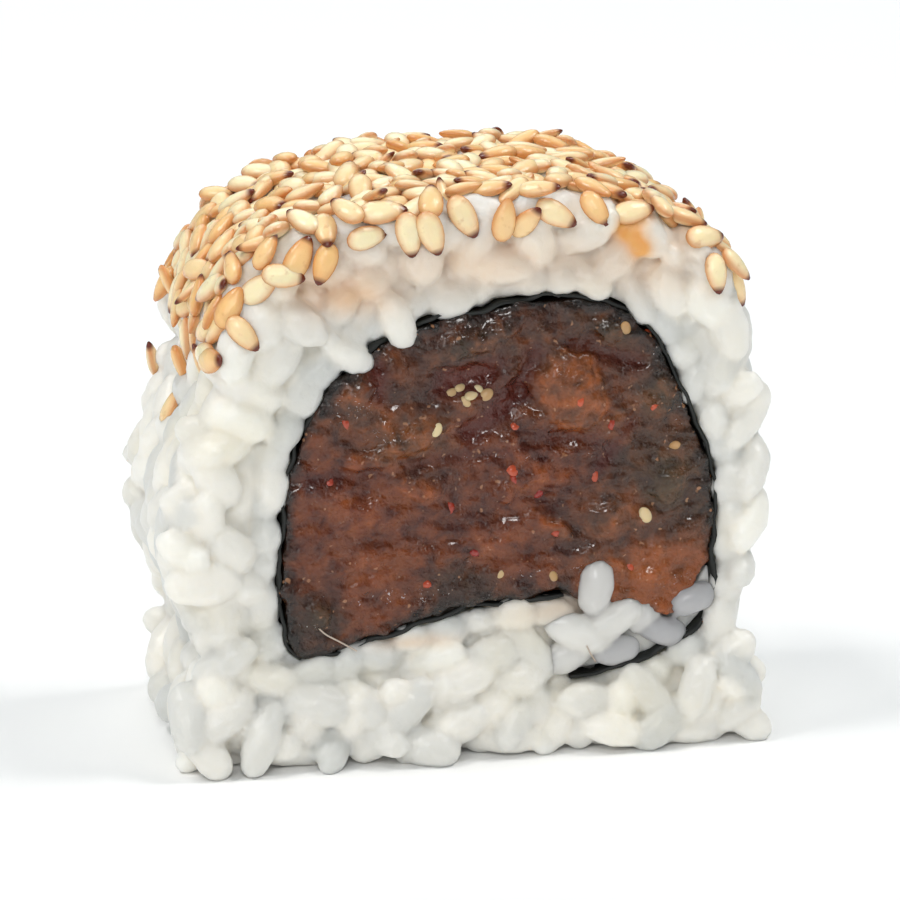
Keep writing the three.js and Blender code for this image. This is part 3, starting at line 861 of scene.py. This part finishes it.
# Painted shadow of the nori: the flesh goes near black along its edge, ragged with the patches.
rim_in = add_node(fish, "ShaderNodeMath", {0: rim, 1: patchy}, operation="ADD").outputs["Value"]
painted_nori_shadow = add_node(
    fish, "ShaderNodeMapRange", {"Value": rim_in, "From Min": 1.0, "From Max": 0.1, "To Max": 0.92}
).outputs["Result"]
crumbs = add_node(
    fish, "ShaderNodeTexNoise", {"Vector": place, "Scale": 1 / (0.55 * MM), "Detail": 1.0}
).outputs["Fac"]
speck = add_node(
    fish, "ShaderNodeMapRange", {"Value": crumbs, "From Min": 0.7, "From Max": 0.76, "To Max": 0.7}
).outputs["Result"]
# Painted glints: pale specks about 0.3 mm across, thickest round the spots listed with the flesh.
painted_glint_noise = add_node(
    fish, "ShaderNodeTexNoise", {"Vector": place, "Scale": 1 / (0.3 * MM), "Detail": 2.0, "Distortion": 1.2}
).outputs["Fac"]
painted_glint_from = add_node(
    fish, "ShaderNodeMapRange", {"Value": painted_glint_spots, "To Min": 0.86, "To Max": 0.64}
).outputs["Result"]
painted_glint_over = add_node(
    fish, "ShaderNodeMath", {0: painted_glint_noise, 1: painted_glint_from}, operation="SUBTRACT"
).outputs["Value"]
painted_glint = add_node(
    fish, "ShaderNodeMath", {0: painted_glint_over, 1: 12.0}, operation="MULTIPLY", use_clamp=True
).outputs["Value"]
# Over the flesh: painted shade and pooled sauce in the folds, painted shadow along the nori,
# crumbs of spice, and painted glints.
for share, code in ((sunken, "#5a1f10"), (painted_nori_shadow, "#14110c"), (speck, "#b4805a"), (painted_glint, "#d8ccc6")):
    tint = add_node(
        fish, "ShaderNodeMix", {SHARE: share, FIRST: tint, SECOND: colour(code)}, data_type="RGBA"
    ).outputs[RESULT]
strands = add_node(
    fish, "ShaderNodeTexNoise", {"Vector": place, "Scale": 1 / (0.6 * MM), "Detail": 3.0}
).outputs["Fac"]
bumps = add_node(
    fish, "ShaderNodeBump", {"Height": strands, "Strength": 1.0, "Distance": 0.42 * MM}
).outputs["Normal"]
links = fish.node_tree.links
links.new(tint, shader.inputs["Base Color"])
links.new(bumps, shader.inputs["Normal"])
shader.inputs["Roughness"].default_value = 0.16
shader.inputs["IOR"].default_value = 1.4
shader.inputs["Subsurface Weight"].default_value = 0.25
shader.inputs["Subsurface Radius"].default_value = (1.0, 0.35, 0.2)
shader.inputs["Subsurface Scale"].default_value = 0.8 * MM
shader.inputs["Coat Weight"].default_value = 0.35
shader.inputs["Coat Roughness"].default_value = 0.1
flesh.data.materials.clear()
flesh.data.materials.append(fish)

# The sesame
# Hulled seeds, toasted until golden, pressed on to the damp rice while the roll was whole. They lie
# two deep over the dome, thin out down the shoulders, and some have slipped over the near cut.

SEED_LENGTH = 3.1 * MM
SEED_WIDTH = 1.6 * MM
SEED_THICKNESS = 1.0 * MM
SEED_SIZE = np.array([SEED_WIDTH, SEED_THICKNESS, SEED_LENGTH])
# The lowest seeds on each side, as shares of the bed's height.
SEEDED_ABOVE_LEFT, SEEDED_ABOVE_RIGHT = 0.73, 0.85


def one_seed():
    """A sesame seed that stands along z with its point up: a flat drop with a thin edge."""
    seed = egg(14, 9, SEED_SIZE)
    for vertex in seed.data.vertices:
        along = 2 * vertex.co.z / SEED_LENGTH
        vertex.co.x *= (1.05 - 0.24 * along) * (1 - 0.08 * max(0, along) ** 2)
        vertex.co.y *= 1.0 - 0.3 * along
    return taken_apart(seed)


seed_shape = one_seed()
seed_along = 0.5 + seed_shape[0][:, 2] / SEED_LENGTH
seed_edge = np.clip(1 - np.abs(seed_shape[0][:, 1]) / (SEED_THICKNESS / 2), 0, 1)

# Seeds that have slipped on to the near cut and the left side: the place in mm, seen from the front
# or from the left, and the turn from point up in degrees.
ON_CUT = [
    (-9.9, 34.6, 200), (-4.3, 36.3, 170), (-2.9, 36.4, 160), (-0.5, 37.2, 150), (2.1, 37.0, 10),
    (3.6, 36.8, 35), (8.3, 37.4, 150), (-15.3, 30.2, 140), (-14.1, 33.0, 60), (-11.5, 35.0, 30),
    (16.0, 35.0, 140), (18.4, 31.3, 160),
    (-7.0, 36.2, 80), (5.6, 37.2, 120), (11.0, 37.0, 80), (-12.6, 33.9, 100), (-16.0, 31.8, 30),
]
ON_LEFT = [
    (-0.5, 27.6, 10), (-5.5, 29.2, 170), (-4.0, 26.7, 175), (1.4, 25.4, 5), (1.0, 22.6, 185),
    (9.0, 24.1, 200), (-7.4, 29.8, 60),
]


# Where the lines start that find the surface from the front and from the left, well outside the piece.
FROM_FRONT, FROM_LEFT = -0.03, -0.04


def landed(start, way, pieces=(bed, loose)):
    """Where a straight way first meets one of some pieces, and the way out of it there."""
    hits = [piece.ray_cast(start, way) for piece in pieces]
    hits = [hit for hit in hits if hit[0]]
    return min(hits, key=lambda hit: (hit[1] - Vector(start)).length) if hits else None


def slipped_seed(start, way, turn):
    """A seed that sticks to the side of the rice, flat against it."""
    hit = landed(start, way)
    if hit is None:
        return []
    out = 0.5 * np.array(hit[2]) - 0.5 * np.array(way)
    axes = lying(out, -math.radians(turn), rng.normal(0, 0.1))
    middle = np.array(hit[1]) - np.array(way) * 0.3 * MM
    return [(axes, middle, np.full(3, rng.uniform(0.9, 1.05)), rng.random())]


slipped = []
for x, z, turn in ON_CUT:
    slipped += slipped_seed((x * MM, FROM_FRONT, z * MM), (0, 1, 0), turn)
for y, z, turn in ON_LEFT:
    slipped += slipped_seed((FROM_LEFT, y * MM, z * MM), (1, 0, 0), turn)
slipped_middles = np.array([place[1] for place in slipped])

# Two spots by the near cut where the seeds haven't stuck, x and y in mm. Seeds stay clear of them
# and of the slipped seeds by BARE_REACH.
BARE_SPOTS = np.array([(6.4, -9.8), (14.4, -10.2)])
BARE_REACH = 1.7


def top_seed():
    """A seed on the dome or the shoulders, lying flat or leaning on others."""
    share = rng.uniform(0.22, 0.8)
    straight = cut_y - EDGE_ROUNDING
    over = EDGE_ROUNDING * (1.2 + 0.9 * noise.noise(Vector((share * 22, 1.5, 0))))
    run = rng.uniform(-1, 1) * (straight + over)
    place, out = bed_surface(share, run)
    across = 0.5 + place[0] / (2 * bed_half_width)
    lowest = SEEDED_ABOVE_LEFT + (SEEDED_ABOVE_RIGHT - SEEDED_ABOVE_LEFT) * across
    lowest += 0.03 * noise.noise(Vector((place[1] / (3 * MM), across * 6, 4)))
    if place[2] < lowest * bed_height or np.hypot(*(place[:2] / MM - BARE_SPOTS).T).min() < BARE_REACH:
        return None
    if np.linalg.norm(slipped_middles - place, axis=1).min() < BARE_REACH * MM:
        return None
    out = out / np.linalg.norm(out)
    hit = landed(place + out * 3 * MM, -out)
    if hit and (hit[1] - Vector(place)).length < 1.5 * MM:
        place, out = np.array(hit[1]), out + 0.5 * np.array(hit[2])
    layer = rng.random() ** 1.5
    tilt = rng.normal(0, 0.12 + 0.2 * layer)
    axes = lying(out, rng.uniform(0, 2 * math.pi), tilt)
    scale = rng.uniform(0.88, 1.08)
    middle = place + out / np.linalg.norm(out) * (0.2 + 0.42 * layer) * MM
    middle[2] = min(middle[2], rice_high.z - half_reach(axes, SEED_SIZE * scale)[2])
    return axes, middle, np.full(3, scale), rng.random()


SEEDS_APART = 1.3 * MM
seed_places = spaced(SEEDS_APART, top_seed, slipped, patience=1500)
sesame = scattered("sesame", seed_shape, seed_places)
count = len(seed_places)
paint(sesame, "along", np.tile(seed_along, count))
paint(sesame, "edge", np.tile(seed_edge, count))
paint(sesame, "toast", np.repeat(rng.random(count), len(seed_along)))
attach(sesame, "root")

# Toasted sesame: cream faces, golden edges, and often a dark point where the seed was attached. The
# roasting has left spots of about a quarter of a seed, 0.8 mm.
toasted, shader = new_material("toasted_sesame")
place = add_node(toasted, "ShaderNodeTexCoord").outputs["Object"]
tone, along, edge, toast = (
    add_node(toasted, "ShaderNodeAttribute", attribute_name=name).outputs["Fac"]
    for name in ("tone", "along", "edge", "toast")
)
golden = add_node(
    toasted, "ShaderNodeMapRange", {"Value": tone, "From Min": 0.2, "From Max": 1.0, "To Max": 0.9}
).outputs["Result"]
at_edge = add_node(
    toasted, "ShaderNodeMapRange", {"Value": edge, "From Min": 0.15, "From Max": 0.95, "To Max": 0.9}
).outputs["Result"]
speckle = add_node(
    toasted, "ShaderNodeTexNoise", {"Vector": place, "Scale": 1 / (0.8 * MM), "Detail": 3.0}
).outputs["Fac"]
scorched = add_node(
    toasted, "ShaderNodeMapRange", {"Value": speckle, "From Min": 0.62, "From Max": 0.8, "To Max": 0.5}
).outputs["Result"]
tip = add_node(
    toasted, "ShaderNodeMapRange", {"Value": along, "From Min": 0.8, "From Max": 0.92}
).outputs["Result"]
often = add_node(
    toasted, "ShaderNodeMath", {0: toast, 1: 0.3}, operation="GREATER_THAN"
).outputs["Value"]
point = add_node(toasted, "ShaderNodeMath", {0: tip, 1: often}, operation="MULTIPLY").outputs["Value"]
tint = colour("#ffedc2")
for share, code in ((golden, "#f6c27c"), (at_edge, "#c97a36"), (scorched, "#b8682c"), (point, "#642611")):
    tint = add_node(
        toasted, "ShaderNodeMix", {SHARE: share, FIRST: tint, SECOND: colour(code)}, data_type="RGBA"
    ).outputs[RESULT]
bumps = add_node(
    toasted, "ShaderNodeBump", {"Height": speckle, "Strength": 0.5, "Distance": 0.2 * MM}
).outputs["Normal"]
links = toasted.node_tree.links
links.new(tint, shader.inputs["Base Color"])
links.new(bumps, shader.inputs["Normal"])
shader.inputs["Roughness"].default_value = 0.27
shader.inputs["Subsurface Weight"].default_value = 0.25
shader.inputs["Subsurface Radius"].default_value = (1.0, 0.6, 0.3)
shader.inputs["Subsurface Scale"].default_value = 0.5 * MM
sesame.data.materials.append(toasted)

# The chilli and its seeds
# Flakes of dried chilli and a few of its pale seeds, stirred into the sauce, and two pale fibres of
# the fish that hang out of the cut.

# Places on the near cut in mm.
FLAKES = [
    (-8.3, 23.5), (2.8, 19.8), (8.6, 18.9), (9.6, 22.7), (7.3, 24.5), (12.6, 23.7), (11.0, 12.6),
    (3.1, 22.7), (0.4, 14.1), (4.8, 18.0), (-3.0, 12.2), (5.9, 15.2), (12.4, 28.6), (-9.4, 19.6),
    (3.0, 19.2), (-1.2, 17.4),
]
PALE_SEEDS = [
    (-1.1, 25.2), (-0.5, 25.5), (0.1, 25.1), (0.7, 25.4), (-0.3, 24.7), (1.1, 25.0), (-2.3, 22.9),
    (10.6, 29.1), (2.1, 12.6), (12.0, 16.2), (5.8, 12.2), (14.0, 20.8),
]


def on_filling(x, z, sink):
    """A small thing's place on the filling, sunk a little into it."""
    _, place, out, _ = flesh.ray_cast((x * MM, FROM_FRONT, z * MM), (0, 1, 0))
    axes = lying(np.array(out), rng.uniform(0, math.pi), rng.normal(0, 0.2))
    return axes, np.array(place - out * sink)


bpy.ops.object.select_all(action="DESELECT")
bpy.ops.mesh.primitive_ico_sphere_add(subdivisions=2, radius=0.5 * MM)
for vertex in bpy.context.object.data.vertices:
    vertex.co += vertex.co * 0.35 * noise.noise(vertex.co / MM * 3)
flake_shape = taken_apart(bpy.context.object)
flake_places = []
for x, z in FLAKES:
    axes, middle = on_filling(x, z, 0.1 * MM)
    scale = rng.uniform(0.45, 0.85) * np.array([rng.uniform(0.7, 1.1), 0.5, 1.2])
    flake_places.append((axes, middle, scale, rng.random()))
flakes = scattered("chilli_flakes", flake_shape, flake_places)
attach(flakes, "root")

# Dried chilli soaked in sauce: bright red to orange, and glossy.
chilli, shader = new_material("chilli_flake")
tone = add_node(chilli, "ShaderNodeAttribute", attribute_name="tone").outputs["Fac"]
red = add_node(
    chilli, "ShaderNodeMix",
    {SHARE: tone, FIRST: colour("#8f1c10"), SECOND: colour("#c9552c")}, data_type="RGBA",
).outputs[RESULT]
chilli.node_tree.links.new(red, shader.inputs["Base Color"])
shader.inputs["Roughness"].default_value = 0.2
shader.inputs["Coat Weight"].default_value = 0.5
flakes.data.materials.append(chilli)

pale_places = []
for x, z in PALE_SEEDS:
    axes, middle = on_filling(x, z, 0.12 * MM)
    scale = rng.uniform(0.65, 0.95) * np.array([0.9, 0.6, 1.25])
    pale_places.append((axes, middle, scale, rng.random()))
pale_seeds = scattered("pale_seeds", lump_shape, pale_places)
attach(pale_seeds, "root")

# Chilli seed: straw coloured, browner where the sauce has soaked in, with a wet skin.
straw, shader = new_material("chilli_seed")
tone = add_node(straw, "ShaderNodeAttribute", attribute_name="tone").outputs["Fac"]
pale = add_node(
    straw, "ShaderNodeMix",
    {SHARE: tone, FIRST: colour("#e8d5a8"), SECOND: colour("#b58a58")}, data_type="RGBA",
).outputs[RESULT]
straw.node_tree.links.new(pale, shader.inputs["Base Color"])
shader.inputs["Roughness"].default_value = 0.25
shader.inputs["Subsurface Weight"].default_value = 0.4
shader.inputs["Subsurface Radius"].default_value = (1.0, 0.7, 0.4)
shader.inputs["Subsurface Scale"].default_value = 0.4 * MM
pale_seeds.data.materials.append(straw)

# Two fibres that hang out of the cut, through points on it in mm.
FIBRES = [
    [(-10.3, 9.7), (-9.9, 9.2), (-9.0, 8.7), (-7.7, 7.9)],
    [(7.9, 7.5), (8.2, 6.9), (8.6, 6.3), (8.8, 6.0)],
]
FIBRE_RADIUS = 0.055 * MM
FIBRE_CLEARANCE = 0.06 * MM
curve = bpy.data.curves.new("fibres", "CURVE")
curve.dimensions = "3D"
curve.bevel_depth = FIBRE_RADIUS
curve.resolution_u = 4
for route in FIBRES:
    spline = curve.splines.new("NURBS")
    spline.points.add(len(route) - 1)
    spline.order_u = 3
    spline.use_endpoint_u = True
    for point, (x, z) in zip(spline.points, route):
        hit = landed((x * MM, FROM_FRONT, z * MM), (0, 1, 0), (flesh, bed, loose))
        point.co = (x * MM, hit[1].y - FIBRE_CLEARANCE, z * MM, 1)
fibres = bpy.data.objects.new("fibres", curve)
bpy.context.collection.objects.link(fibres)
select_only(fibres)
bpy.ops.object.convert(target="MESH")
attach(fibres, "root")

# Sinew of the fish: white, half clear and wet.
sinew, shader = new_material("fish_sinew")
shader.inputs["Base Color"].default_value = colour("#c9b8a8")
shader.inputs["Roughness"].default_value = 0.25
fibres.data.materials.append(sinew)

# The table, the light and the camera
# A plain white table, lit from above on both sides by large soft lights and from the front by two
# weaker ones; a fifth clears the table behind. The camera stands low in front, a little to the left.

bpy.ops.object.select_all(action="DESELECT")
bpy.ops.mesh.primitive_plane_add(size=4.0)
table = bpy.context.object
table.name = "table"
laminate, shader = new_material("white_laminate")
shader.inputs["Base Color"].default_value = colour("#fbfbfa")
shader.inputs["Roughness"].default_value = 0.6
shader.inputs["Emission Color"].default_value = (1.0, 1.0, 1.0, 1.0)
shader.inputs["Emission Strength"].default_value = 0.015
table.data.materials.append(laminate)


def softbox(name, place, aim, size, power, tint):
    """A square light of some size that faces a point."""
    light = bpy.data.lights.new(name, "AREA")
    light.shape = "SQUARE"
    light.size = size
    light.energy = power
    light.color = tint
    lamp = bpy.data.objects.new(name, light)
    lamp.location = place
    lamp.rotation_euler = (Vector(aim) - Vector(place)).to_track_quat("-Z", "Y").to_euler()
    bpy.context.collection.objects.link(lamp)


MIDDLE = (0, 0, 20 * MM)
softbox("key", (-0.25, -1.3, 0.9), MIDDLE, 0.2, 5.2, (1.0, 0.99, 0.975))
softbox("front_left", (-0.75, -1.2, 0.6), MIDDLE, 0.4, 3.2, (1.0, 0.99, 0.975))
softbox("right_side", (0.75, -0.05, 1.3), MIDDLE, 0.5, 9.9, (1.0, 0.985, 0.965))
softbox("left_side", (-0.75, -0.05, 1.3), MIDDLE, 0.5, 9.5, (1.0, 0.985, 0.965))
softbox("behind", (0.0, 1.3, 1.1), (0, 0.9, 0), 1.0, 6.0, (1.0, 1.0, 1.0))
world = bpy.data.worlds.new("room")
bpy.context.scene.world = world
world.use_nodes = True
world.node_tree.nodes["Background"].inputs["Color"].default_value = (0.68, 0.86, 1.0, 1.0)
world.node_tree.nodes["Background"].inputs["Strength"].default_value = 0.2
bpy.context.scene.view_settings.view_transform = "Standard"

AZIMUTH, ELEVATION = math.radians(-12.0), math.radians(14.5)
DISTANCE = 0.32
PICTURE_PIXELS = 900
PIXELS_PER_MM = 14.6
AIM = Vector((0.75, 0, 18.8)) * MM
back = Vector((
    math.sin(AZIMUTH) * math.cos(ELEVATION),
    -math.cos(AZIMUTH) * math.cos(ELEVATION),
    math.sin(ELEVATION),
))
lens = bpy.data.cameras.new("camera")
lens.sensor_width = 36
lens.lens = PIXELS_PER_MM / MM * DISTANCE / PICTURE_PIXELS * lens.sensor_width
lens.clip_start, lens.clip_end = 0.01, 10
camera = bpy.data.objects.new("camera", lens)
camera.location = AIM + back * DISTANCE
camera.rotation_euler = (-back).to_track_quat("-Z", "Y").to_euler()
bpy.context.collection.objects.link(camera)
bpy.context.scene.camera = camera
